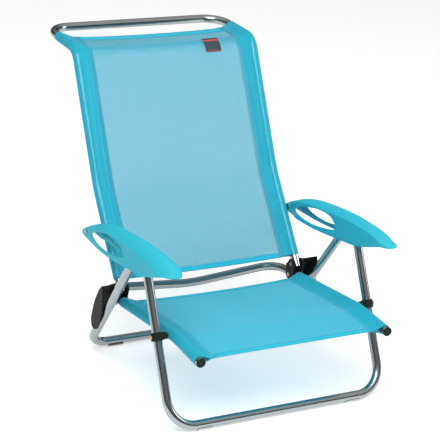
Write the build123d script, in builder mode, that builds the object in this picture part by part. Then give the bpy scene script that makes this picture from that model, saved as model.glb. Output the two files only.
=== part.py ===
"""Low folding beach chair: tube frames, sling seat and back, moulded armrests, recline racks.

Millimetres, +Z up, the chair faces -Y. The origin is on the ground under the middle of the
chair's outer box. Side-view points are (y, z). Parts that come in pairs are built on the +X
side and mirrored.
"""
import os
from math import asin, atan2, cos, sin

from build123d import *

# ---- frame tube -------------------------------------------------------------------------------
TUBE_R = 10.0                       # outer radius of every frame tube
BORE_R = 8.8                        # inner radius: 1.2 mm wall
SLING_X = 225.0                     # side tubes of the seat and the back, from the middle plane
LEG_X = 259.0                       # side tubes of both leg frames
FIT = 0.05                          # radial clearance of a pin in its hole
END_PAST_PIN = 10.0                 # tube left beyond a pivot hole

# ---- side-view points of the frames -----------------------------------------------------------
FRONT_FOOT = (-389.0, 12.2)         # centre of the front ground bar
REAR_FOOT = (36.0, 12.2)            # centre of the rear ground bar
SEAT_PIVOT = (-298.0, 183.5)        # front leg on the seat tube
BACK_PIVOT = (-43.0, 180.2)         # back tube on the rack
ARM_FRONT_PIN = (-223.63, 323.35)   # front leg in the armrest, the opened pivot
ARM_MID_PIN = (-183.7, 321.6)       # rear leg in the armrest
ARM_REAR_PIN = (43.3, 288.4)        # armrest on the back tube
SEAT_RIVET = (-36.0, 151.1)         # rack on the seat tube

SEAT_FRONT = (-432.0, 181.2)        # seat tube's open end
SEAT_BEND = (-314.0, 185.5)         # gentle bend behind the front end
SEAT_REAR = (51.7, 140.1)           # rear corner of the seat frame
SEAT_BAR_DIP = 19.0                 # the rear crossbar dips this much in its middle
BACK_KINK = (104.0, 365.2)          # lumbar bend
BACK_CREST = (255.0, 642.2)         # the back turns rearwards here
BACK_TOP = (425.3, 645.5)           # top bar

LEG_CORNER_R = 60.0
REAR_LEG_CORNER_R = 48.0
SEAT_CORNER_R = 45.0
SEAT_BEND_R = 250.0
DIP_R = 420.0
KINK_R = 250.0
CREST_R = 40.0
TOP_CORNER_R = 50.0
BACK_TAIL = 8.0                     # back tube below its pivot

# ---- sling ------------------------------------------------------------------------------------
SLEEVE_IN_R = 10.15
SLEEVE_OUT_R = 11.2
SEAM_REACH = 30.0                   # seam line, inboard from the tube's axis
POCKET_REACH = 24.0                 # where the sleeve's two layers meet inside
SEAM_R = 1.0
SHEET_T = 1.0
PANEL_HALF = SLING_X - SEAM_REACH - SEAM_R - 0.1
SEAT_SLEEVE = (-424.0, -61.0)       # y of the front and rear ends
SEAT_PANEL = (-428.0, -62.0)
BACK_SLEEVE_START = 21.0            # along the back tube from its pivot
BACK_SLEEVE_END = 358.0             # y, on the rearward top part
BACK_PANEL_START = 16.0
BACK_PANEL_END = 333.0

LABEL_X = 120.0
LABEL_SIZE = (40.0, 0.8)            # width, thickness
LABEL_FLAT = 4.0                    # length below the crest bend
LABEL_TURN = 48.0                   # degrees of the crest bend it covers
LABEL_LIFT = 1.1                    # its mid-surface above the panel's

# ---- pins -------------------------------------------------------------------------------------
PIN_R = 3.0
RIVET_R = 2.5
HEAD_R = 4.6
HEAD_T = 2.0

# ---- armrest ----------------------------------------------------------------------------------
ARM_IN = 238.5                      # inner face
ARM_OUT = 285.0                     # outer face
ARM_WALL = 2.8
ARM_TOP = 3.2
ARM_CAVITY_END = 26.0               # solid behind this y
ARM_PIN_FACE = 276.4                # seat of the rear pin's head
SOCKET_R = 7.0                      # opened pivot: pin radius plus the linkage's travel
SOCKET_SHIFT = (-1.2, -3.3)         # socket centre from the pin's place
SOCKET_WALL = 3.2
BOSS_R = 6.5
BOSS_GAP = 0.5                      # boss face to leg tube
ARM_CREST = [(-369.0, 347.0), (-352.0, 358.0), (-329.0, 362.0), (-289.0, 364.2), (-229.0, 363.2),
             (-167.0, 357.2), (-105.0, 348.6), (-49.0, 338.0), (-5.0, 324.0), (28.0, 309.0),
             (46.0, 300.5), (60.0, 292.0), (72.0, 281.0)]
ARM_UNDER = [(72.0, 274.5), (51.0, 274.3), (-9.0, 275.2), (-49.0, 277.2), (-89.0, 281.2),
             (-139.0, 288.2), (-189.0, 296.2), (-249.0, 306.2), (-309.0, 325.2), (-341.0, 336.4),
             (-369.0, 341.0)]
ARM_SLOT_TOP = [(-171.0, 318.0), (-162.0, 330.0), (-127.0, 336.0), (-63.0, 325.5), (-10.0, 312.0),
                (14.0, 296.5)]
ARM_SLOT_LOW = [(14.0, 293.0), (-4.0, 288.0), (-32.0, 285.5), (-62.0, 287.0), (-92.0, 291.5),
                (-130.0, 301.0), (-171.0, 314.0)]

# ---- recline rack -----------------------------------------------------------------------------
PLATE_T = 3.4
PLATE_IN = SLING_X - TUBE_R - 0.1   # inboard plate's tube side
PLATE_OUT = SLING_X + TUBE_R + 0.1  # outboard plate's tube side
WEB_IN = 236.6
CHEEK_IN = 272.0
CHEEK_OUT = 275.4
WEB_T = 2.4
PLATE = [(-59.0, 185.0), (-50.0, 193.5), (-34.0, 190.0), (-22.0, 172.0), (-23.0, 146.0),
         (-31.0, 139.0), (-50.0, 144.0)]
BRIDGE = (-24.5, 169.0)             # block that ties the two plates together
BRIDGE_SIZE = (7.0, 11.0)
RACK_BACK = [(-51.0, 195.2), (-35.0, 177.2), (-23.0, 156.8), (-14.2, 137.8), (-8.6, 119.8), (-4.0, 103.5)]
RACK_TIP = [(-4.2, 91.0), (-9.0, 81.5), (-17.0, 78.2), (-25.0, 79.2), (-41.0, 94.2)]
RACK_FRONT = [(-41.0, 94.2), (-52.0, 118.0), (-57.0, 144.2), (-57.0, 170.0), (-53.0, 194.2)]
RACK_SCREW = (-20.0, 86.5)

# ---- feet and plugs ---------------------------------------------------------------------------
PAD_T = 2.5                         # at the side; the underside is flattened
PAD_LENGTH = 34.0
PAD_DEPTH = 7.0                     # the pads reach this high above the ground
CLIP_WALL = 3.2
CLIP_HALF = 9.0
CLIP_BOSS_R = 7.5


def unit(start, end):
    length = ((end[0] - start[0]) ** 2 + (end[1] - start[1]) ** 2) ** 0.5
    return ((end[0] - start[0]) / length, (end[1] - start[1]) / length)


def beyond(start, end, extra):
    """Point past end, on the line from start."""
    direction = unit(start, end)
    return (end[0] + direction[0] * extra, end[1] + direction[1] * extra)


def on_line(start, end, y):
    """Point at y on the line through two side-view points."""
    share = (y - start[0]) / (end[0] - start[0])
    return (y, start[1] + share * (end[1] - start[1]))


def side_plane(x):
    """Side view at x: the plane's axes are Y and Z, and it extrudes towards +X."""
    return Plane(origin=(x, 0, 0), x_dir=(0, 1, 0), z_dir=(1, 0, 0))


def across(point, x):
    """Location of something that lies along X."""
    return Location((x, point[0], point[1]), (0, 90, 0))


def u_tube(x, side_points, radii, centre=()):
    """Tube up one side, across at the last side point and down the other side."""
    near = [(x, y, z) for y, z in side_points]
    far = [(-x, y, z) for y, z in reversed(side_points)]
    with BuildPart() as tube:
        with BuildLine() as path:
            FilletPolyline(*near, *centre, *far, radius=radii)
        with BuildSketch(Plane(origin=path.line @ 0, z_dir=path.line % 0)):
            Circle(TUBE_R)
            Circle(BORE_R, mode=Mode.SUBTRACT)
        sweep()
    return tube


def drill(points, x, radius, depth=30.0):
    """Holes along X through both side tubes of the part being built."""
    for point in points:
        with Locations(across(point, x), across(point, -x)):
            Cylinder(radius, depth, mode=Mode.SUBTRACT)


def seat_frame():
    side = [SEAT_FRONT, SEAT_BEND, SEAT_REAR]
    centre = [(0.0, SEAT_REAR[0], SEAT_REAR[1] - SEAT_BAR_DIP)]
    radii = [SEAT_BEND_R, SEAT_CORNER_R, DIP_R, SEAT_CORNER_R, SEAT_BEND_R]
    with u_tube(SLING_X, side, radii, centre) as frame:
        drill([SEAT_PIVOT], SLING_X, PIN_R + FIT)
        drill([SEAT_RIVET], SLING_X, RIVET_R + FIT)
    return frame


def front_leg_frame():
    top = beyond(FRONT_FOOT, ARM_FRONT_PIN, END_PAST_PIN)
    with u_tube(LEG_X, [top, FRONT_FOOT], LEG_CORNER_R) as frame:
        drill([SEAT_PIVOT, ARM_FRONT_PIN], LEG_X, PIN_R + FIT)
    return frame


def rear_leg_frame():
    top = beyond(REAR_FOOT, ARM_MID_PIN, END_PAST_PIN)
    with u_tube(LEG_X, [top, REAR_FOOT], REAR_LEG_CORNER_R) as frame:
        drill([ARM_MID_PIN], LEG_X, PIN_R + FIT)
    return frame


def back_frame():
    side = [beyond(BACK_KINK, BACK_PIVOT, BACK_TAIL), BACK_KINK, BACK_CREST, BACK_TOP]
    bends = [KINK_R, CREST_R, TOP_CORNER_R]
    with u_tube(SLING_X, side, bends + bends[::-1]) as frame:
        drill([BACK_PIVOT, ARM_REAR_PIN], SLING_X, PIN_R + FIT)
    return frame


def drop_outline(radius, reach, tip_r):
    """Closed line round the tube's axis, drawn out to a tip on the +X side of the sketch."""
    slope = asin((radius - tip_r) / reach)
    lean, rise = sin(slope), cos(slope)
    big = (radius * lean, radius * rise)
    small = (reach + tip_r * lean, tip_r * rise)
    with BuildLine(Plane.XY) as outline:
        Line(big, small)
        ThreePointArc(small, (reach + tip_r, 0), (small[0], -small[1]))
        Line((small[0], -small[1]), (big[0], -big[1]))
        ThreePointArc((big[0], -big[1]), (-radius, 0), big)
    return outline.edges()


def sleeve(points, radii, pierced=()):
    """Drop-shaped sleeve round a side tube, closed on a seam at the panel's edge."""
    cloth_line = drop_outline(SLEEVE_OUT_R, SEAM_REACH, SEAM_R)
    pocket_line = drop_outline(SLEEVE_IN_R, POCKET_REACH, 0.2)
    with BuildPart() as cloth:
        with BuildLine() as path:
            FilletPolyline(*[(SLING_X, y, z) for y, z in points], radius=radii)
        with BuildSketch(Plane(origin=path.line @ 0, x_dir=(-1, 0, 0), z_dir=path.line % 0)):
            make_face(cloth_line)
            make_face(pocket_line, mode=Mode.SUBTRACT)
        sweep(path=path.line)
        for point in pierced:
            with Locations(across(point, SLING_X + TUBE_R)):
                Cylinder(PIN_R + 0.6, 16.0, mode=Mode.SUBTRACT)
    return cloth


def panel(points, radii):
    with BuildPart() as cloth:
        with BuildLine() as path:
            FilletPolyline(*[(0, y, z) for y, z in points], radius=radii)
        with BuildSketch(Plane(origin=path.line @ 0, x_dir=(1, 0, 0), z_dir=path.line % 0)):
            Rectangle(2 * PANEL_HALF, SHEET_T)
        sweep(path=path.line)
    return cloth


def seat_run(limits):
    return [on_line(SEAT_FRONT, SEAT_BEND, limits[0]), SEAT_BEND, on_line(SEAT_BEND, SEAT_REAR, limits[1])]


def back_run(start, end_y):
    first = beyond(BACK_KINK, BACK_PIVOT, -start)
    return [first, BACK_KINK, BACK_CREST, on_line(BACK_CREST, BACK_TOP, end_y)]


def back_label():
    """Sewn patch on the sitter's side of the back, following the start of the crest bend."""
    rise = unit(BACK_KINK, BACK_CREST)
    over = unit(BACK_CREST, BACK_TOP)
    turn = atan2(rise[1], rise[0]) - atan2(over[1], over[0])
    setback = CREST_R * sin(turn / 2) / cos(turn / 2)
    bend_start = beyond(BACK_KINK, BACK_CREST, -setback)
    start = (bend_start[0] - rise[1] * LABEL_LIFT, bend_start[1] + rise[0] * LABEL_LIFT)
    low = (start[0] - rise[0] * LABEL_FLAT, start[1] - rise[1] * LABEL_FLAT)
    with BuildPart() as patch:
        with BuildLine(side_plane(LABEL_X)) as path:
            Line(low, start)
            JernArc(start, rise, CREST_R + LABEL_LIFT, -LABEL_TURN)
        with BuildSketch(Plane(origin=path.line @ 0, x_dir=(1, 0, 0), z_dir=path.line % 0)):
            Rectangle(*LABEL_SIZE)
        sweep(path=path.line)
    return patch


def seat_cap():
    """Plug with a domed flange in the seat tube's front end."""
    forward = unit(SEAT_BEND, SEAT_FRONT)
    mouth = Plane(origin=(SLING_X, *SEAT_FRONT), x_dir=(1, 0, 0), z_dir=(0, *forward))
    with BuildPart() as cap:
        with BuildSketch(mouth):
            Circle(TUBE_R + 0.3)
        extrude(amount=3.6)
        fillet(cap.edges().group_by(Axis.Y)[0], 2.4)
        with BuildSketch(mouth):
            Circle(BORE_R - FIT)
        extrude(amount=-16.0)
    return cap


def leg_clip():
    """Ring round the front leg with a spacer boss that reaches to the seat sleeve."""
    ring = Plane(origin=(LEG_X, *SEAT_PIVOT), x_dir=(1, 0, 0), z_dir=(0, *unit(FRONT_FOOT, SEAT_PIVOT)))
    boss_start = SLING_X + SLEEVE_OUT_R + 0.5
    with BuildPart() as clip:
        with BuildSketch(ring):
            Circle(TUBE_R + CLIP_WALL)
        extrude(amount=CLIP_HALF, both=True)
        with Locations(across(SEAT_PIVOT, (boss_start + LEG_X) / 2)):
            Cylinder(CLIP_BOSS_R, LEG_X - boss_start)
        with BuildSketch(ring):
            Circle(TUBE_R + 0.1)
        extrude(amount=2 * CLIP_HALF, both=True, mode=Mode.SUBTRACT)
        drill([SEAT_PIVOT], LEG_X, PIN_R + FIT, 80.0)
    return clip


def foot_pads(foot, corner_r):
    """Clear pads under both ends of a ground bar, inboard of its corners."""
    start = LEG_X - corner_r - PAD_LENGTH
    with BuildPart() as pads:
        with BuildSketch(Plane(origin=(start, *foot), x_dir=(0, 1, 0), z_dir=(1, 0, 0))):
            Circle(TUBE_R + 0.1 + PAD_T)
            Circle(TUBE_R + 0.1, mode=Mode.SUBTRACT)
            with Locations((0, PAD_DEPTH - foot[1] + TUBE_R * 2), (0, -foot[1] - TUBE_R * 2)):
                Rectangle(TUBE_R * 4, TUBE_R * 4, mode=Mode.SUBTRACT)
        extrude(amount=PAD_LENGTH)
        mirror(about=Plane.YZ)
    return pads


def pins(point, x_start, x_end, radius=PIN_R, heads=()):
    """Matching pins on both sides; heads lists the x where each head starts."""
    with BuildPart() as pair:
        with Locations(across(point, (x_start + x_end) / 2)):
            Cylinder(radius, x_end - x_start)
        for head in heads:
            with Locations(across(point, head + HEAD_T / 2)):
                Cylinder(HEAD_R, HEAD_T)
        mirror(about=Plane.YZ)
    return pair


def arm_spacers():
    inner = SLING_X + SLEEVE_OUT_R + 0.4
    outer = ARM_IN - 0.1
    with BuildPart() as spacers:
        with Locations(across(ARM_REAR_PIN, (inner + outer) / 2)):
            Cylinder(2.4 * PIN_R, outer - inner)
            Cylinder(PIN_R + FIT, outer - inner, mode=Mode.SUBTRACT)
        mirror(about=Plane.YZ)
    return spacers


def arm_block(inset, drop, low, rear_end):
    """Solid under the armrest's crest line, inside its plan outline moved in by inset."""
    inner = ARM_IN + inset
    outer = ARM_OUT - inset
    nose = ARM_CREST[0][0] + inset
    crest = [(y, z - drop) for y, z in ARM_CREST]
    with BuildPart() as block:
        with BuildSketch(Plane.XY.offset(240.0)):
            with BuildLine():
                Polyline((inner, -340.0), (inner, 0.0), (inner + 6.0, rear_end), (outer - 10.0, rear_end))
                Spline((outer - 10.0, rear_end), (outer - 3.0, -60.0), (outer, -190.0), (outer, -340.0))
                Spline(
                    (outer, -340.0), (outer - 7.0, nose + 10.0), (outer - 22.0, nose), (inner + 8.0, nose + 10.0),
                    (inner, -340.0), tangents=((0, -1), (0, 1)),
                )
            make_face()
        extrude(amount=140.0)
        with BuildSketch(side_plane(230.0)):
            with BuildLine():
                Spline(*crest)
                Polyline(crest[-1], low[0])
                Spline(*low) if len(low) > 2 else Line(*low)
                Line(low[-1], crest[0])
            make_face()
        extrude(amount=70.0, mode=Mode.INTERSECT)
    return block


def armrest():
    """Moulded armrest: crowned shell open underneath, leaf-shaped slots, hidden pivot bosses."""
    hollow = arm_block(ARM_WALL, ARM_TOP, [(72.0, 240.0), (-369.0, 240.0)], ARM_CAVITY_END)
    socket = (ARM_FRONT_PIN[0] + SOCKET_SHIFT[0], ARM_FRONT_PIN[1] + SOCKET_SHIFT[1])
    walls = (ARM_IN + ARM_WALL, ARM_OUT - ARM_WALL)
    faces = (LEG_X - TUBE_R - BOSS_GAP, LEG_X + TUBE_R + BOSS_GAP)
    shell = arm_block(0.0, 0.0, ARM_UNDER, ARM_CREST[-1][0])
    with BuildPart() as body:
        add(shell.part)
        add(hollow.part, mode=Mode.SUBTRACT)
        with BuildSketch(side_plane(ARM_IN - 10.0)):
            with BuildLine():
                Spline(*ARM_SLOT_TOP)
                Line(ARM_SLOT_TOP[-1], ARM_SLOT_LOW[0])
                Spline(*ARM_SLOT_LOW)
                Line(ARM_SLOT_LOW[-1], ARM_SLOT_TOP[0])
            make_face()
        extrude(amount=80.0, mode=Mode.SUBTRACT)
        for wall, face in ((walls[0] - 1.0, faces[0]), (faces[1], walls[1] + 1.0)):
            with Locations(across(socket, (wall + face) / 2)):
                Cylinder(SOCKET_R + SOCKET_WALL, face - wall)
            with Locations(across(ARM_MID_PIN, (wall + face) / 2)):
                Cylinder(BOSS_R, face - wall)
        with Locations(across(socket, sum(walls) / 2)):
            Cylinder(SOCKET_R, walls[1] - walls[0], mode=Mode.SUBTRACT)
        with Locations(across(ARM_MID_PIN, sum(walls) / 2)):
            Cylinder(PIN_R + FIT, walls[1] - walls[0], mode=Mode.SUBTRACT)
        with Locations(across(ARM_REAR_PIN, LEG_X)):
            Cylinder(PIN_R + FIT, 80.0, mode=Mode.SUBTRACT)
        with Locations(across(ARM_REAR_PIN, ARM_PIN_FACE + 10.0)):
            Cylinder(HEAD_R + 0.8, 20.2, mode=Mode.SUBTRACT)
    return body


def rack():
    """Recline rack: two plates on the back pivot, an arched web and the outer cheek."""
    inner_web = [(y - WEB_T * 0.9, z - WEB_T * 0.4) for y, z in RACK_BACK]
    with BuildPart() as body:
        for x in (PLATE_IN - PLATE_T, PLATE_OUT):
            with BuildSketch(side_plane(x)):
                Polygon(*PLATE, align=None)
                fillet(vertices(), 5.0)
            extrude(amount=PLATE_T)
        with BuildSketch(side_plane(PLATE_IN - PLATE_T)):
            with Locations(BRIDGE):
                Rectangle(*BRIDGE_SIZE)
        extrude(amount=PLATE_OUT - PLATE_IN + 2 * PLATE_T)
        with BuildSketch(side_plane(WEB_IN)):
            with BuildLine():
                Spline(*RACK_BACK)
                Line(RACK_BACK[-1], inner_web[-1])
                Spline(*reversed(inner_web))
                Line(inner_web[0], RACK_BACK[0])
            make_face()
        extrude(amount=CHEEK_OUT - WEB_IN)
        with BuildSketch(side_plane(CHEEK_IN)):
            with BuildLine():
                Spline(*RACK_BACK)
                Spline(RACK_BACK[-1], *RACK_TIP)
                Spline(*RACK_FRONT)
                Line(RACK_FRONT[-1], RACK_BACK[0])
            make_face()
        extrude(amount=CHEEK_OUT - CHEEK_IN)
        with Locations(across(RACK_SCREW, CHEEK_OUT)):
            Cylinder(3.0, 1.6)
        with Locations(across(BACK_PIVOT, SLING_X)):
            Cylinder(PIN_R + FIT, 34.0, mode=Mode.SUBTRACT)
        with Locations(across(SEAT_RIVET, SLING_X)):
            Cylinder(RIVET_R + FIT, 34.0, mode=Mode.SUBTRACT)
    return body


def mirrored(source):
    with BuildPart() as copy:
        add(source.part)
        mirror(about=Plane.YZ, mode=Mode.REPLACE)
    return copy


def save(name, built):
    built.part.label = name
    export_step(built.part, f"parts/{name}.step")


def save_pair(name, built):
    save(f"right_{name}", built)
    save(f"left_{name}", mirrored(built))


def main():
    os.makedirs("parts", exist_ok=True)
    plate_faces = (PLATE_IN - PLATE_T, PLATE_OUT + PLATE_T)
    pin_heads = (plate_faces[0] - HEAD_T, plate_faces[1])
    save("seat_frame", seat_frame())
    save("front_leg_frame", front_leg_frame())
    save("rear_leg_frame", rear_leg_frame())
    save("back_frame", back_frame())
    save("seat_panel", panel(seat_run(SEAT_PANEL), SEAT_BEND_R))
    save("back_panel", panel(back_run(BACK_PANEL_START, BACK_PANEL_END), [KINK_R, CREST_R]))
    save("back_label", back_label())
    save_pair("seat_sleeve", sleeve(seat_run(SEAT_SLEEVE), SEAT_BEND_R, [SEAT_PIVOT]))
    back_edge = back_run(BACK_SLEEVE_START, BACK_SLEEVE_END)
    save_pair("back_sleeve", sleeve(back_edge, [KINK_R, CREST_R], [ARM_REAR_PIN]))
    save_pair("seat_cap", seat_cap())
    save_pair("leg_clip", leg_clip())
    save_pair("rack", rack())
    save_pair("armrest", armrest())
    save("front_foot_pads", foot_pads(FRONT_FOOT, LEG_CORNER_R))
    save("rear_foot_pads", foot_pads(REAR_FOOT, REAR_LEG_CORNER_R))
    save("back_pivot_rivets", pins(BACK_PIVOT, *plate_faces, heads=pin_heads[:1]))
    save("rack_rivets", pins(SEAT_RIVET, *plate_faces, radius=RIVET_R, heads=pin_heads))
    clip_face = LEG_X + TUBE_R + CLIP_WALL + 0.1
    tube_face = SLING_X - TUBE_R - 0.1
    save("leg_pivot_rivets", pins(SEAT_PIVOT, tube_face, clip_face, heads=(tube_face - HEAD_T, clip_face)))
    save("arm_pivot_rivets", pins(ARM_REAR_PIN, tube_face, ARM_PIN_FACE, heads=(tube_face - HEAD_T, ARM_PIN_FACE)))
    save("arm_spacers", arm_spacers())
    socket_ends = (ARM_IN + ARM_WALL + 0.3, ARM_OUT - ARM_WALL - 0.3)
    save("front_arm_pins", pins(ARM_FRONT_PIN, *socket_ends))
    save("rear_arm_pins", pins(ARM_MID_PIN, *socket_ends))


if __name__ == "__main__":
    main()
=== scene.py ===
"""Cloth, armrests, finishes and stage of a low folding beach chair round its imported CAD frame.

Lengths are metres in the shared frame, except the armrest's tables, which are millimetres.
"""

import math

import bmesh
import bpy
from bpy.props import FloatProperty, FloatVectorProperty, PointerProperty
from mathutils import Matrix, Vector


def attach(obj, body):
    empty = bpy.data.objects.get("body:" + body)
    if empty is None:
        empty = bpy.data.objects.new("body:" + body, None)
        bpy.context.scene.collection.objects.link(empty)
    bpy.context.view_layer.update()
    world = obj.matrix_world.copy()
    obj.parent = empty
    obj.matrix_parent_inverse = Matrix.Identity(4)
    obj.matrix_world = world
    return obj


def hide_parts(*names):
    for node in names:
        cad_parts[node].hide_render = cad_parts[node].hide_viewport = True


bl_info = {
    "name": "Beach Chair Finish",
    "version": (1, 0, 0),
    "blender": (4, 5, 0),
    "location": "View3D > Sidebar > Beach Chair",
    "description": "Builds the sling cloth, armrests, finishes and stage of a folding beach chair",
    "category": "Object",
}

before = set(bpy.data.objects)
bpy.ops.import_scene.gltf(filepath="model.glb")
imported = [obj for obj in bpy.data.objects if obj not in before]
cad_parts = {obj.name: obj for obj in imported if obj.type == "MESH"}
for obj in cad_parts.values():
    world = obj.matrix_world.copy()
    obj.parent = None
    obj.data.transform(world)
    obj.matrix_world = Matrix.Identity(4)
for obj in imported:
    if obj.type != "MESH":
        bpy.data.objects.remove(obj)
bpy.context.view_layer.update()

MM = 0.001

# Side-view lines of the tubes that carry the cloth, as (y, z), with the radii of their bends
SEAT_LINE = [(-0.432, 0.1812), (-0.314, 0.1855), (0.0517, 0.1401)]
SEAT_RADII = [0.25]
BACK_LINE = [(-0.043, 0.1802), (0.104, 0.3652), (0.255, 0.6422), (0.4253, 0.6455)]
BACK_RADII = [0.25, 0.04]

# Cross-section of the cloth: tube centre, sleeve radius, creases, seam and lap under the panel
SLING_X = 0.225
SLEEVE_R = 0.0107
CREASE = 0.00022
CREASES = 10
SEAM_X = 0.195
LAP_X = 0.186
SLEEVE_STEPS = 60
PANEL_STEPS = 36

WEAVE_PITCH = 1.9
BODY_ROWS = {"seat": 90, "back": 170}


# ---- colours and materials --------------------------------------------------------------------

def linear(hex_colour):
    """sRGB hex to linear RGBA."""
    values = [int(hex_colour[i:i + 2], 16) / 255 for i in (1, 3, 5)]
    return [v / 12.92 if v <= 0.04045 else ((v + 0.055) / 1.055) ** 2.4 for v in values] + [1.0]


def add_node(tree, kind, inputs=None, **settings):
    """New node; inputs maps a socket to a value or to the socket that feeds it."""
    node = tree.nodes.new(kind)
    for name, value in settings.items():
        setattr(node, name, value)
    for key, value in (inputs or {}).items():
        if isinstance(value, bpy.types.NodeSocket):
            tree.links.new(value, node.inputs[key])
        else:
            node.inputs[key].default_value = value
    return node


def shader(name, colour, roughness, **values):
    """Principled material with uniform values on the shader's own sockets."""
    made = bpy.data.materials.new(name)
    made.use_nodes = True
    principled = made.node_tree.nodes["Principled BSDF"]
    principled.inputs["Base Color"].default_value = linear(colour)
    principled.inputs["Roughness"].default_value = roughness
    for socket, value in values.items():
        principled.inputs[socket.replace("_", " ")].default_value = value
    return made, made.node_tree, principled


def fine_bump(tree, principled, scale, strength, distance):
    """Shallow surface grain, in object space."""
    place = add_node(tree, "ShaderNodeTexCoord")
    noise = add_node(
        tree, "ShaderNodeTexNoise", {"Vector": place.outputs["Object"], "Scale": scale, "Detail": 3.0}
    )
    bump = add_node(
        tree, "ShaderNodeBump",
        {"Height": noise.outputs["Fac"], "Strength": strength, "Distance": distance},
    )
    tree.links.new(bump.outputs["Normal"], principled.inputs["Normal"])
    return noise


def tube_material():
    """Drawn aluminium tube, satin polished: a soft mirror with faint drawing marks."""
    made, tree, principled = shader("Satin aluminium tube", "#A2A8A9", 0.2, Metallic=1.0)
    noise = fine_bump(tree, principled, 900.0, 0.04, 0.0002)
    rough = add_node(tree, "ShaderNodeMapRange", {
        "Value": noise.outputs["Fac"], "From Min": 0.3, "From Max": 0.7, "To Min": 0.16, "To Max": 0.26,
    })
    tree.links.new(rough.outputs["Result"], principled.inputs["Roughness"])
    return made


def plastic_material(name, colour, roughness, grain=0.08):
    """Injection moulded polypropylene: matt, with a spark-eroded grain that spreads the highlight."""
    made, tree, principled = shader(name, colour, roughness, Specular_IOR_Level=0.12)
    fine_bump(tree, principled, 1400.0, grain, 0.0002)
    return made


def cloth_material(name, colour, hole, pitch, sheen=0.25):
    """Woven PVC-coated polyester: threads along both UV axes, see-through holes between them.

    The pitch is in millimetres and coarser than a real weave, so that the mesh still shows.
    """
    made, tree, principled = shader(name, colour, 0.62, Sheen_Weight=sheen, Specular_IOR_Level=0.15)
    uv = add_node(tree, "ShaderNodeUVMap", uv_map="cloth")
    scaled = add_node(
        tree, "ShaderNodeVectorMath", {0: uv.outputs["UV"], 3: 1.0 / (pitch * MM)}, operation="SCALE"
    )
    parts = add_node(tree, "ShaderNodeSeparateXYZ", {0: scaled.outputs["Vector"]})
    waves = []
    for axis in ("X", "Y"):
        wave = add_node(tree, "ShaderNodeMath", {0: parts.outputs[axis], 1: 0.5}, operation="PINGPONG")
        waves.append(wave.outputs[0])
    smallest = add_node(tree, "ShaderNodeMath", {0: waves[0], 1: waves[1]}, operation="MINIMUM")
    mask = add_node(
        tree, "ShaderNodeMath", {0: smallest.outputs[0], 1: 0.5 - hole / 2}, operation="GREATER_THAN"
    )
    height = add_node(tree, "ShaderNodeMath", {0: waves[0], 1: waves[1]}, operation="ADD")
    bump = add_node(
        tree, "ShaderNodeBump",
        {"Height": height.outputs[0], "Strength": 0.5, "Distance": 0.0004},
    )
    tree.links.new(bump.outputs["Normal"], principled.inputs["Normal"])
    clear = add_node(tree, "ShaderNodeBsdfTransparent")
    mix = add_node(
        tree, "ShaderNodeMixShader",
        {0: mask.outputs[0], 1: principled.outputs["BSDF"], 2: clear.outputs["BSDF"]},
    )
    tree.links.new(mix.outputs[0], tree.nodes["Material Output"].inputs["Surface"])
    return made


def label_material():
    """Dark damask-woven patch with two red lines, by distance along the slope of the back."""
    made, tree, principled = shader("Woven patch", "#2A3A42", 0.7)
    place = add_node(tree, "ShaderNodeTexCoord")
    along = add_node(
        tree, "ShaderNodeVectorMath", {0: place.outputs["Object"], 1: (0.0, 0.4789, 0.8779)},
        operation="DOT_PRODUCT",
    )
    ramp = add_node(tree, "ShaderNodeValToRGB")
    spread = add_node(
        tree, "ShaderNodeMapRange",
        {"Value": along.outputs["Value"], "From Min": 0.6585, "From Max": 0.6937},
    )
    tree.links.new(spread.outputs["Result"], ramp.inputs["Fac"])
    tree.links.new(ramp.outputs["Color"], principled.inputs["Base Color"])
    ramp.color_ramp.interpolation = "CONSTANT"
    bands = [
        (0.0, "#2A3A42"), (0.04, "#A0343A"), (0.09, "#2A3A42"), (0.77, "#D0402F"), (0.87, "#2A3A42"),
    ]
    stops = ramp.color_ramp.elements
    while len(stops) < len(bands):
        stops.new(1.0)
    for stop, (position, colour) in zip(stops, bands):
        stop.position = position
        stop.color = linear(colour)
    return made


def clad(names, material):
    """Give CAD nodes a material."""
    for name in names:
        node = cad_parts[name]
        node.data.materials.clear()
        node.data.materials.append(material)


# ---- side-view paths --------------------------------------------------------------------------

def rounded(points, radii, step=0.004):
    """Side-view polyline with its inner corners rounded, as (y, z) points a step apart."""
    line = [Vector(points[0])]
    for before, corner, after, radius in zip(points, points[1:], points[2:], radii):
        corner = Vector(corner)
        a = (Vector(before) - corner).normalized()
        b = (Vector(after) - corner).normalized()
        half = a.angle(b) / 2
        centre = corner + (a + b).normalized() * radius / math.sin(half)
        start = corner + a * radius / math.tan(half)
        end = corner + b * radius / math.tan(half)
        sweep = (start - centre).angle_signed(end - centre)
        count = max(2, round(abs(sweep) * radius / step))
        spoke = start - centre
        for i in range(count + 1):
            angle = -sweep * i / count
            turned = Vector((
                spoke.x * math.cos(angle) - spoke.y * math.sin(angle),
                spoke.x * math.sin(angle) + spoke.y * math.cos(angle),
            ))
            line.append(centre + turned)
    line.append(Vector(points[-1]))
    return line


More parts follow.
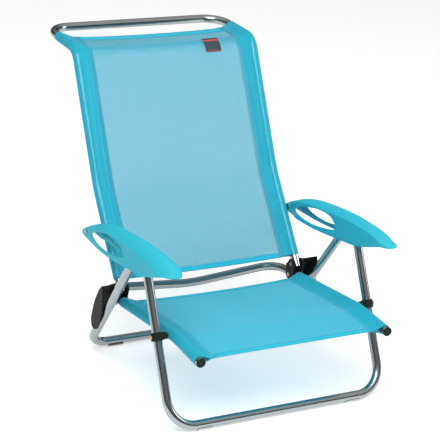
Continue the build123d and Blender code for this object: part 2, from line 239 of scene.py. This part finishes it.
class Track:
    """Arc-length lookup of a rounded side-view path."""

    def __init__(self, points, radii):
        self.line = rounded(points, radii)
        self.at = [0.0]
        for a, b in zip(self.line, self.line[1:]):
            self.at.append(self.at[-1] + (b - a).length)
        self.length = self.at[-1]

    def point(self, s, lift=0.0):
        """Point at arc length s, lifted along the normal; runs straight on past both ends."""
        i = 0
        while i < len(self.at) - 2 and self.at[i + 1] < s:
            i += 1
        span = self.at[i + 1] - self.at[i]
        a, b = self.line[i], self.line[i + 1]
        direction = (b - a) / span
        place = a + direction * (s - self.at[i])
        return place + Vector((-direction.y, direction.x)) * lift

    def s_at_y(self, y):
        for i in range(len(self.line) - 1):
            if self.line[i].x <= y <= self.line[i + 1].x:
                share = (y - self.line[i].x) / (self.line[i + 1].x - self.line[i].x)
                return self.at[i] + share * (self.at[i + 1] - self.at[i])
        return (y - self.line[0].x) if y < self.line[0].x else self.length + y - self.line[-1].x


# ---- meshes -----------------------------------------------------------------------------------

def new_object(name, vertices, faces, material, smooth=True):
    mesh = bpy.data.meshes.new(name)
    mesh.from_pydata(vertices, [], faces)
    mesh.update()
    made = bpy.data.objects.new(name, mesh)
    bpy.context.scene.collection.objects.link(made)
    made.data.materials.append(material)
    mesh.polygons.foreach_set("use_smooth", [smooth] * len(mesh.polygons))
    return made


def sling_section(sag):
    """Cross-section of the whole cloth, (x, lift), from the left lap round both tubes to the right.

    Shallow creases run along each sleeve and fade out where it leaves the tube.
    """
    tilt = math.asin(SLEEVE_R / (SLING_X - SEAM_X + 0.004))
    around = []
    for t in range(SLEEVE_STEPS + 1):
        angle = math.pi / 2 + tilt - t * (math.pi + 2 * tilt) / SLEEVE_STEPS
        fade = math.sin(t * math.pi / SLEEVE_STEPS)
        radius = SLEEVE_R + CREASE * fade * math.cos(2 * math.pi * CREASES * t / SLEEVE_STEPS)
        around.append((SLING_X + radius * math.cos(angle), radius * math.sin(angle)))
    under = [(SEAM_X, -0.0008), (SEAM_X - 0.004, -0.00085), (LAP_X, -0.0009)]
    right = [(SEAM_X, 0.0003)] + around + under
    inner = []
    for i in range(PANEL_STEPS + 1):
        x = -LAP_X + 2 * LAP_X * i / PANEL_STEPS
        inner.append((x, -sag * (1 - (x / LAP_X) ** 2)))
    left = [(-x, lift) for x, lift in reversed(right)]
    return left + inner + right


def cloth_grid(name, track, ends, section, material, rows):
    """Sheet that follows a side-view track; ends(x) gives its first and last arc length at x."""
    run = [0.0]
    for a, b in zip(section, section[1:]):
        run.append(run[-1] + math.dist(a, b))
    vertices, uvs = [], []
    for row in range(rows + 1):
        for (x, lift), u in zip(section, run):
            first, last = ends(x)
            s = first + (last - first) * row / rows
            y, z = track.point(s, lift)
            vertices.append((x, y, z))
            uvs.append((u, s))
    width = len(section)
    faces = [
        (r * width + c, r * width + c + 1, (r + 1) * width + c + 1, (r + 1) * width + c)
        for r in range(rows) for c in range(width - 1)
    ]
    made = new_object(name, vertices, faces, material)
    layer = made.data.uv_layers.new(name="cloth")
    for loop in made.data.loops:
        layer.data[loop.index].uv = uvs[loop.vertex_index]
    return made, run[-1]


def thicken(made, thickness, offset=0.0):
    solid = made.modifiers.new("Thickness", "SOLIDIFY")
    solid.thickness = thickness
    solid.offset = offset
    solid.use_even_offset = True
    return solid


def edge_ends(first, last, ears, bows):
    """First and last arc length by x.

    The sleeves run past the panel by ears, and the panel's edges bow in by bows.
    """
    def ends(x):
        inside = max(0.0, 1 - (abs(x) / 0.207) ** 12)
        bow = max(0.0, 1 - (x / 0.2) ** 2)
        return first + ears[0] * inside + bows[0] * bow, last - ears[1] * inside - bows[1] * bow
    return ends


def hem_band(name, track, ends, section, at_end, width, lift, material):
    """Folded hem: a second layer on the panel's edge, on the given side of the cloth."""
    def band(x):
        first, last = ends(x)
        return (last - width, last) if at_end else (first, first + width)
    middle = [(x, side + lift) for x, side in section if abs(x) <= LAP_X]
    made, _ = cloth_grid(name, track, band, middle, material, 4)
    thicken(made, 0.0007)
    return made


def stitch_tree(material):
    """Geometry Nodes: short threads along every line of the input mesh."""
    tree = bpy.data.node_groups.new("Stitches", "GeometryNodeTree")
    tree.interface.new_socket("Geometry", in_out="INPUT", socket_type="NodeSocketGeometry")
    for name, default in (("Pitch", 0.0045), ("Thread Radius", 0.0004), ("Stitch Length", 0.0032)):
        socket = tree.interface.new_socket(name, in_out="INPUT", socket_type="NodeSocketFloat")
        socket.default_value = default
    tree.interface.new_socket("Geometry", in_out="OUTPUT", socket_type="NodeSocketGeometry")
    given = add_node(tree, "NodeGroupInput")
    curve = add_node(tree, "GeometryNodeMeshToCurve", {"Mesh": given.outputs["Geometry"]})
    points = add_node(
        tree, "GeometryNodeCurveToPoints",
        {"Curve": curve.outputs["Curve"], "Length": given.outputs["Pitch"]}, mode="LENGTH",
    )
    thread = add_node(
        tree, "GeometryNodeMeshCylinder",
        {
            "Vertices": 6, "Radius": given.outputs["Thread Radius"],
            "Depth": given.outputs["Stitch Length"],
        },
    )
    placed = add_node(
        tree, "GeometryNodeInstanceOnPoints",
        {"Points": points.outputs["Points"], "Instance": thread.outputs["Mesh"],
         "Rotation": points.outputs["Rotation"]},
    )
    real = add_node(tree, "GeometryNodeRealizeInstances", {"Geometry": placed.outputs["Instances"]})
    painted = add_node(
        tree, "GeometryNodeSetMaterial", {"Geometry": real.outputs["Geometry"], "Material": material}
    )
    add_node(tree, "NodeGroupOutput", {"Geometry": painted.outputs["Geometry"]})
    return tree


def stitched(name, lines, tree, material, pitch):
    """Plain mesh of stitches along polylines of points."""
    vertices, edges = [], []
    for line in lines:
        start = len(vertices)
        vertices += line
        edges += [(start + i, start + i + 1) for i in range(len(line) - 1)]
    mesh = bpy.data.meshes.new(name + "_lines")
    mesh.from_pydata(vertices, edges, [])
    carrier = bpy.data.objects.new(name + "_lines", mesh)
    bpy.context.scene.collection.objects.link(carrier)
    modifier = carrier.modifiers.new("Stitches", "NODES")
    modifier.node_group = tree
    for item in tree.interface.items_tree:
        if item.item_type == "SOCKET" and item.in_out == "INPUT" and item.name == "Pitch":
            modifier[item.identifier] = pitch
    graph = bpy.context.evaluated_depsgraph_get()
    result = bpy.data.meshes.new_from_object(carrier.evaluated_get(graph))
    result.name = name
    bpy.data.objects.remove(carrier)
    made = bpy.data.objects.new(name, result)
    bpy.context.scene.collection.objects.link(made)
    if not result.materials:
        result.materials.append(material)
    return made


# ---- sizes a user would change ----------------------------------------------------------------

class BeachChairSling(bpy.types.PropertyGroup):
    thickness: FloatProperty(
        name="Cloth thickness", description="Thickness of the sling cloth", default=0.0008, unit="LENGTH")
    sag: FloatProperty(
        name="Sag", description="How far the middle of a panel hangs below its tubes",
        default=0.003, unit="LENGTH")
    hem: FloatProperty(
        name="Top hem", description="Width of the hem at the top of the back",
        default=0.024, unit="LENGTH")
    narrow_hem: FloatProperty(
        name="Other hems", description="Width of the other hems", default=0.012, unit="LENGTH")
    pitch: FloatProperty(
        name="Stitch pitch", description="Distance from stitch to stitch", default=0.0045, unit="LENGTH")


class BeachChairArms(bpy.types.PropertyGroup):
    wall: FloatProperty(
        name="Wall", description="Wall thickness of the moulded armrests", default=0.0028, unit="LENGTH")
    bevel: FloatProperty(
        name="Edge radius", description="Rounding of the armrests' rims", default=0.0008, unit="LENGTH")
    colour: FloatVectorProperty(
        name="Colour", description="Armrest colour", subtype="COLOR", size=3,
        default=linear("#30B0C3")[:3])


class BeachChairStage(bpy.types.PropertyGroup):
    key: FloatProperty(
        name="Key light", description="Power of the large overhead light", default=73.0, unit="POWER")
    side: FloatProperty(
        name="Side light", description="Power of the side light", default=24.0, unit="POWER")


# ---- operators --------------------------------------------------------------------------------

class CHAIR_OT_frame(bpy.types.Operator):
    """Finish the tubes, plastic fittings, rivets, pads and patch that come from the CAD frame"""
    bl_idname = "beach_chair.frame"
    bl_label = "Finish the frame"

    def execute(self, context):
        clad(["seat_frame", "back_frame", "front_leg_frame", "rear_leg_frame"], tube_material())
        black = plastic_material("Black polypropylene", "#1C2120", 0.5)
        clad(
            [f"{side}_{name}" for side in ("left", "right") for name in ("seat_cap", "rack", "leg_clip")]
            + ["arm_spacers"],
            black,
        )
        # Barrel-plated rivets: zinc gives a dull grey shine, brass a warm one at the leg pivots
        steel = shader("Zinc plated steel", "#A9A9A6", 0.3, Metallic=1.0)[0]
        brass = shader("Brass plated steel", "#C09A5A", 0.3, Metallic=1.0)[0]
        clad(
            ["rack_rivets", "back_pivot_rivets", "arm_pivot_rivets", "front_arm_pins", "rear_arm_pins"],
            steel,
        )
        clad(["leg_pivot_rivets"], brass)
        # Moulded soft vinyl: pads with a slight sheen. The rear pads are coloured dark brown along the
        # underside of the rear bar.
        clad(["front_foot_pads"], shader("Pale vinyl pad", "#C6C8C6", 0.45)[0])
        clad(["rear_foot_pads"], shader("Dark brown rear pad", "#6B5546", 0.45)[0])
        clad(["back_label"], label_material())
        return {"FINISHED"}


class CHAIR_OT_slings(bpy.types.Operator):
    """Build the seat cloth and the back cloth with sleeves, hems and stitching"""
    bl_idname = "beach_chair.slings"
    bl_label = "Build the slings"

    def execute(self, context):
        props = context.scene.beach_chair_sling
        seat_cloth = cloth_material("Seat polyester mesh", "#36AEC8", 0.22, WEAVE_PITCH)
        back_cloth = cloth_material("Back polyester mesh", "#3EA7BF", 0.55, WEAVE_PITCH)
        hem_cloth = cloth_material("Hem polyester mesh", "#2AB4CE", 0.2, WEAVE_PITCH, 0.05)
        sleeve_cloth = cloth_material("Sleeve polyester mesh", "#22B0CA", 0.52, WEAVE_PITCH, 0.1)
        # Spun polyester: the dull line of the seams
        thread = shader("Polyester thread", "#2BA5C2", 0.6)[0]
        makers = (sleeve_cloth, hem_cloth, thread, stitch_tree(thread), props)

        seat = Track(SEAT_LINE, SEAT_RADII)
        seat_ends = edge_ends(seat.s_at_y(-0.424), seat.s_at_y(-0.061), (0.003, 0.006), (0.006, 0.003))
        self.sling("seat", seat, seat_ends, seat_cloth, (props.narrow_hem, props.narrow_hem), *makers)
        back = Track(BACK_LINE, BACK_RADII)
        back_ends = edge_ends(0.0205, back.s_at_y(0.358), (-0.002, 0.019), (-0.0015, 0.001))
        self.sling("back", back, back_ends, back_cloth, (props.narrow_hem, props.hem), *makers)
        return {"FINISHED"}

    def sling(self, body, track, ends, cloth, hem_widths, sleeve_cloth, hem_cloth, thread, tree, props):
        section = sling_section(props.sag)
        rows = BODY_ROWS[body]
        made, width = cloth_grid(f"{body}_sling", track, ends, section, cloth, rows)
        made.data.materials.append(sleeve_cloth)
        sleeve = [abs(a[0] + b[0]) / 2 > SEAM_X for a, b in zip(section, section[1:])] * rows
        made.data.polygons.foreach_set("material_index", [int(inside) for inside in sleeve])
        thicken(made, props.thickness)
        hems = []
        for label, at_end, size in zip(("lower", "upper"), (False, True), hem_widths):
            for face, lift in (("front", 0.00085), ("rear", -0.00085)):
                hems.append(hem_band(
                    f"{body}_{label}_hem_{face}", track, ends, section, at_end, size, lift, hem_cloth))
        lines = self.seam_lines(track, ends, props.sag) + self.hem_lines(track, ends, props.sag, hem_widths)
        stitches = stitched(f"{body}_stitching", lines, tree, thread, props.pitch)
        for piece in [made, stitches, *hems]:
            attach(piece, body)
        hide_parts(f"{body}_panel", f"left_{body}_sleeve", f"right_{body}_sleeve")
        first, last = ends(0.0)
        outer_first, outer_last = ends(SLING_X)

    def seam_lines(self, track, ends, sag, count=80):
        """Two rows of stitches along each sleeve, on both faces of the cloth."""
        lines = []
        for x in (SEAM_X - 0.0025, SEAM_X - 0.0065):
            hang = sag * (1 - min(1.0, (x / LAP_X) ** 2))
            first, last = ends(x)
            for side in (-1, 1):
                for lift in (0.0010, -0.0015):
                    lines.append([
                        (side * x, *track.point(first + (last - first) * i / count, lift - hang))
                        for i in range(count + 1)
                    ])
        return lines

    def hem_lines(self, track, ends, sag, hem_widths, count=60):
        """A row of stitches along the inner edge of each hem, on both faces of the cloth."""
        lines = []
        for at_end, size in zip((False, True), hem_widths):
            for lift in (0.0014, -0.0014):
                line = []
                for i in range(count + 1):
                    x = -LAP_X + 2 * LAP_X * i / count
                    first, last = ends(x)
                    s = last - size + 0.0018 if at_end else first + size - 0.0018
                    line.append((x, *track.point(s, lift - sag * (1 - (x / LAP_X) ** 2))))
                lines.append(line)
        return lines


# ---- armrest shape ----------------------------------------------------------------------------

def smooth_curve(points):
    """Piecewise cubic through side-view points that never overshoots between them."""
    ys = [p[0] for p in points]
    zs = [p[1] for p in points]
    slopes = [(b - a) / (d - c) for a, b, c, d in zip(zs, zs[1:], ys, ys[1:])]
    tangents = [slopes[0]]
    for a, b in zip(slopes, slopes[1:]):
        tangents.append(0.0 if a * b <= 0 else 2 * a * b / (a + b))
    tangents.append(slopes[-1])

    def at(y):
        y = min(max(y, ys[0]), ys[-1])
        i = 0
        while i < len(ys) - 2 and ys[i + 1] < y:
            i += 1
        h = ys[i + 1] - ys[i]
        t = (y - ys[i]) / h
        return (
            zs[i] * (1 + 2 * t) * (1 - t) ** 2 + tangents[i] * h * t * (1 - t) ** 2
            + zs[i + 1] * t * t * (3 - 2 * t) - tangents[i + 1] * h * t * t * (1 - t)
        )
    return at


# Height of the crest and of the lower rim along y
ARM_CREST = smooth_curve([
    (-369, 346.5), (-366, 349.5), (-352, 356), (-329, 361.5), (-289, 364.2), (-229, 363.2), (-167, 357.2),
    (-105, 348.6), (-49, 338), (-5, 324), (28, 309), (46, 300.5), (60, 292), (68, 285), (72, 280),
])
ARM_UNDER = smooth_curve([
    (-369, 344), (-350, 342), (-336, 337), (-320, 330.5), (-300, 322.5), (-249, 306.2), (-189, 296.2),
    (-139, 288.2), (-89, 281.2), (-49, 277.2), (-9, 275.2), (51, 274.3), (72, 275),
])

# Distance of the inner and of the outer wall from the chair's middle
ARM_INNER = smooth_curve([
    (-369, 254), (-366, 248), (-360, 243.5), (-350, 239.8), (-338, 238.5), (0, 238.5), (26, 244.5),
    (72, 245),
])
ARM_OUTER = smooth_curve([
    (-369, 262), (-366, 270), (-358, 277), (-348, 281.5), (-336, 284.3), (-325, 285), (-190, 285),
    (-60, 282), (40, 276.2), (64, 275), (70, 273), (72, 270),
])

# Fall of the crown from the crest to each wall
ARM_DROP_IN = smooth_curve([
    (-369, 2.5), (-345, 6.5), (-292, 8), (-210, 10), (-105, 11), (-18, 7), (40, 4), (72, 1.5),
])
ARM_DROP_OUT = smooth_curve([
    (-369, 2), (-350, 13), (-336, 20.5), (-323, 18), (-190, 15), (-127, 12), (-10, 9), (40, 6), (72, 2),
])

# Upper and lower edge of the leaf-shaped slot
SLOT_TOP = smooth_curve([
    (-171, 317), (-162, 327), (-145, 334), (-127, 336), (-90, 332), (-63, 325.5), (-10, 308), (14, 294),
])
SLOT_LOW = smooth_curve([
    (-171, 315), (-160, 309), (-130, 300), (-92, 291.5), (-62, 287), (-32, 285.5), (-4, 288), (14, 293),
])
SLOT_RANGE = (-171.0, 14.0)
CROWN_STEPS = 9

# Rings moulded inside the walls, as (y, z), outer radius and bore: front leg's bearing, rear leg's pin
LEG_RINGS = (((-224.83, 320.05), 10.2, 7.0), ((-183.7, 321.6), 6.5, 3.05))
RING_SPANS = ((240.5, 248.5), (269.5, 283.0))
BACK_RING = (43.3, 288.4, 5.0, 3.05, 240.6, 270.0)


def arm_stations():
    """y of the armrest's cross-sections, closer at the nose and at the slot's ends."""
    nose = [-369 + 9 * (i / 10) ** 2 for i in range(10)]
    front = [-360 + 4.5 * i for i in range(42)]
    slot = [SLOT_RANGE[0] + (SLOT_RANGE[1] - SLOT_RANGE[0]) * (0.5 - 0.5 * math.cos(math.pi * i / 46))
            for i in range(47)]
    rear = [18, 23, 28, 34, 40, 46, 52, 58, 64, 68, 72]
    return nose + front + slot + rear


def arm_section(y, crown):
    """Cross-section at y, from the inner wall's rim over the top to the outer wall's rim."""
    inner, outer = ARM_INNER(y), ARM_OUTER(y)
    top, under = ARM_CREST(y), ARM_UNDER(y)
    middle = (inner + outer) / 2
    half = (outer - inner) / 2
    ridge = middle - 0.15 * half
    in_slot = SLOT_RANGE[0] <= y <= SLOT_RANGE[1]
    points = []
    for side, fall in ((-1, ARM_DROP_IN(y)), (1, ARM_DROP_OUT(y))):
        drop = min(fall, top - under - 1.2)
        shoulder = top - drop
        if in_slot:
            low = min(SLOT_LOW(y), shoulder - 3.0)
            high = min(max(SLOT_TOP(y), low), shoulder - 2.4)
        else:
            low = under + (shoulder - under) * 0.4
            high = under + (shoulder - under) * 0.6
        x = middle + side * half
        heights = (under, (under + low) / 2, low, high, (high + shoulder) / 2, shoulder)
        wall = [(x, height) for height in heights]
        arch = []
        for i in range(1, crown):
            t = 1 - i / crown
            arch.append((ridge + (x - ridge) * t, shoulder + drop * (1 - t * t)))
        points.append(wall + arch)
    return points[0] + [(ridge, top)] + points[1][::-1]


class CHAIR_OT_armrests(bpy.types.Operator):
    """Build the crowned armrest shells with their leaf-shaped slots"""
    bl_idname = "beach_chair.armrests"
    bl_label = "Build the armrests"

    def execute(self, context):
        props = context.scene.beach_chair_arms
        skin = plastic_material("Turquoise polypropylene", "#30B0C3", 0.5, 0.05)
        skin.node_tree.nodes["Principled BSDF"].inputs["Base Color"].default_value = [*props.colour, 1.0]
        for name, side in (("left", -1), ("right", 1)):
            made = self.shell(f"{name}_arm_shell", side, skin)
            thicken(made, props.wall, -1.0)
            bevel = made.modifiers.new("Rim", "BEVEL")
            bevel.width = props.bevel
            bevel.segments = 2
            bevel.limit_method = "ANGLE"
            bevel.angle_limit = math.radians(50)
            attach(made, "armrests")
            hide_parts(f"{name}_armrest")
            boss = self.bosses(f"{name}_arm_bosses", side, skin)
            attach(boss, "armrests")
        return {"FINISHED"}

    def shell(self, name, side, skin):
        stations = arm_stations()
        sections = [arm_section(y, CROWN_STEPS) for y in stations]
        width = len(sections[0])
        vertices = [
            (side * x * MM, y * MM, z * MM) for y, section in zip(stations, sections) for x, z in section
        ]
        faces = []
        for r in range(len(stations) - 1):
            open_here = SLOT_RANGE[0] <= stations[r] and stations[r + 1] <= SLOT_RANGE[1]
            for c in range(width - 1):
                if open_here and c in (2, width - 4):
                    continue
                near, far = r * width + c, (r + 1) * width + c
                faces.append((near, near + 1, far + 1, far))
        faces.append(tuple(range(width)))
        last = (len(stations) - 1) * width
        faces.append(tuple(range(last + width - 1, last - 1, -1)))
        made = new_object(name, vertices, faces, skin)
        work = bmesh.new()
        work.from_mesh(made.data)
        bmesh.ops.remove_doubles(work, verts=work.verts, dist=0.00005)
        bmesh.ops.recalc_face_normals(work, faces=work.faces)
        top = max(work.faces, key=lambda f: f.calc_center_median().z)
        if top.normal.z < 0:
            bmesh.ops.reverse_faces(work, faces=work.faces)
        work.to_mesh(made.data)
        work.free()
        made.data.shade_smooth()
        made.data.set_sharp_from_angle(angle=math.radians(32))
        return made

    def bosses(self, name, side, skin):
        """Moulded rings that carry the leg pins and the pivot on the back."""
        work = bmesh.new()
        for (y, z), radius, hole in LEG_RINGS:
            for start, end in RING_SPANS:
                self.ring(work, side, y, z, radius, hole, start, end)
        self.ring(work, side, *BACK_RING)
        mesh = bpy.data.meshes.new(name)
        bmesh.ops.recalc_face_normals(work, faces=work.faces)
        work.to_mesh(mesh)
        work.free()
        made = bpy.data.objects.new(name, mesh)
        bpy.context.scene.collection.objects.link(made)
        mesh.materials.append(skin)
        mesh.shade_smooth()
        mesh.set_sharp_from_angle(angle=math.radians(40))
        return made

    def ring(self, work, side, y, z, radius, hole, start, end, count=36):
        loops = []
        for x, r in ((start, radius), (end, radius), (end, hole), (start, hole)):
            loops.append([
                work.verts.new((
                    side * x * MM,
                    (y + r * math.cos(2 * math.pi * i / count)) * MM,
                    (z + r * math.sin(2 * math.pi * i / count)) * MM,
                ))
                for i in range(count)
            ])
        for a, b in zip(loops, loops[1:] + loops[:1]):
            for i in range(count):
                j = (i + 1) % count
                work.faces.new((a[i], a[j], b[j], b[i]))


class CHAIR_OT_stage(bpy.types.Operator):
    """Add the floor, the lights and the camera"""
    bl_idname = "beach_chair.stage"
    bl_label = "Set the stage"

    def execute(self, context):
        props = context.scene.beach_chair_stage
        size = 12.0
        # Lit white paper sweep: so bright that only a faint shadow is left on it
        pale, _, principled = shader("White paper sweep", "#DEDEDE", 0.9, Emission_Strength=0.5)
        principled.inputs["Emission Color"].default_value = linear("#FFFFFF")
        floor = new_object(
            "stage_floor", [(-size, -size, 0), (size, -size, 0), (size, size, 0), (-size, size, 0)],
            [(0, 1, 2, 3)], pale, smooth=False)
        self.light(context, "stage_key", Vector((-0.8, -1.2, 2.6)), 2.2, props.key)
        self.light(context, "stage_side", Vector((2.4, -1.0, 1.4)), 1.2, props.side)
        self.world(context)
        self.camera(context)
        context.scene.view_settings.view_transform = "Standard"
        return {"FINISHED"}

    def light(self, context, name, place, extent, power):
        """Square softbox turned to the middle of the chair."""
        data = bpy.data.lights.new(name, "AREA")
        data.energy = power
        data.size = extent
        light = bpy.data.objects.new(name, data)
        light.location = place
        light.rotation_euler = (Vector((0, 0, 0.3)) - place).to_track_quat("-Z", "Y").to_euler()
        context.scene.collection.objects.link(light)

    def world(self, context):
        """White studio with a grey band at the horizon, for the tubes to mirror."""
        world = bpy.data.worlds.new("Studio")
        world.use_nodes = True
        tree = world.node_tree
        place = add_node(tree, "ShaderNodeTexCoord")
        parts = add_node(tree, "ShaderNodeSeparateXYZ", {0: place.outputs["Generated"]})
        ramp = add_node(tree, "ShaderNodeValToRGB", {"Fac": parts.outputs["Z"]})
        stops = ramp.color_ramp.elements
        stops[0].position, stops[0].color = 0.05, (0.02, 0.022, 0.025, 1)
        stops[1].position, stops[1].color = 0.7, (1, 1, 1, 1)
        middle = stops.new(0.3)
        middle.color = (0.16, 0.17, 0.18, 1)
        tree.links.new(ramp.outputs["Color"], tree.nodes["Background"].inputs["Color"])
        tree.nodes["Background"].inputs["Strength"].default_value = 0.62
        context.scene.world = world

    def camera(self, context):
        azimuth, elevation, roll = (math.radians(v) for v in (-29.44, 21.52, 4.60))
        back = Vector((
            math.sin(azimuth) * math.cos(elevation),
            -math.cos(azimuth) * math.cos(elevation),
            math.sin(elevation),
        ))
        right = Vector((math.cos(azimuth), math.sin(azimuth), 0))
        up = back.cross(right)
        turned_right = right * math.cos(roll) + up * math.sin(roll)
        turned_up = up * math.cos(roll) - right * math.sin(roll)
        data = bpy.data.cameras.new("camera")
        data.lens = 135.7
        data.sensor_width = 36.0
        camera = bpy.data.objects.new("camera", data)
        matrix = Matrix((turned_right, turned_up, back)).transposed().to_4x4()
        matrix.translation = (-1.6915, -3.0616, 1.6812)
        camera.matrix_world = matrix
        context.scene.collection.objects.link(camera)
        context.scene.camera = camera


class CHAIR_PT_panel(bpy.types.Panel):
    """Sizes and build steps of the beach chair"""
    bl_idname = "CHAIR_PT_panel"
    bl_label = "Beach Chair"
    bl_space_type = "VIEW_3D"
    bl_region_type = "UI"
    bl_category = "Beach Chair"

    def draw(self, context):
        for group in ("beach_chair_sling", "beach_chair_arms", "beach_chair_stage"):
            box = self.layout.box()
            props = getattr(context.scene, group)
            for name in props.__annotations__:
                box.prop(props, name)
        for operator in OPERATORS:
            self.layout.operator(operator.bl_idname)


GROUPS = {
    "beach_chair_sling": BeachChairSling,
    "beach_chair_arms": BeachChairArms,
    "beach_chair_stage": BeachChairStage,
}
OPERATORS = (CHAIR_OT_frame, CHAIR_OT_slings, CHAIR_OT_armrests, CHAIR_OT_stage)


def register():
    for name, group in GROUPS.items():
        bpy.utils.register_class(group)
        setattr(bpy.types.Scene, name, PointerProperty(type=group))
    for made in (*OPERATORS, CHAIR_PT_panel):
        bpy.utils.register_class(made)


def unregister():
    for made in (CHAIR_PT_panel, *reversed(OPERATORS)):
        bpy.utils.unregister_class(made)
    for name, group in GROUPS.items():
        delattr(bpy.types.Scene, name)
        bpy.utils.unregister_class(group)


def main():
    register()
    bpy.ops.beach_chair.frame()
    bpy.ops.beach_chair.slings()
    bpy.ops.beach_chair.armrests()
    bpy.ops.beach_chair.stage()


if __name__ == "__main__":
    main()
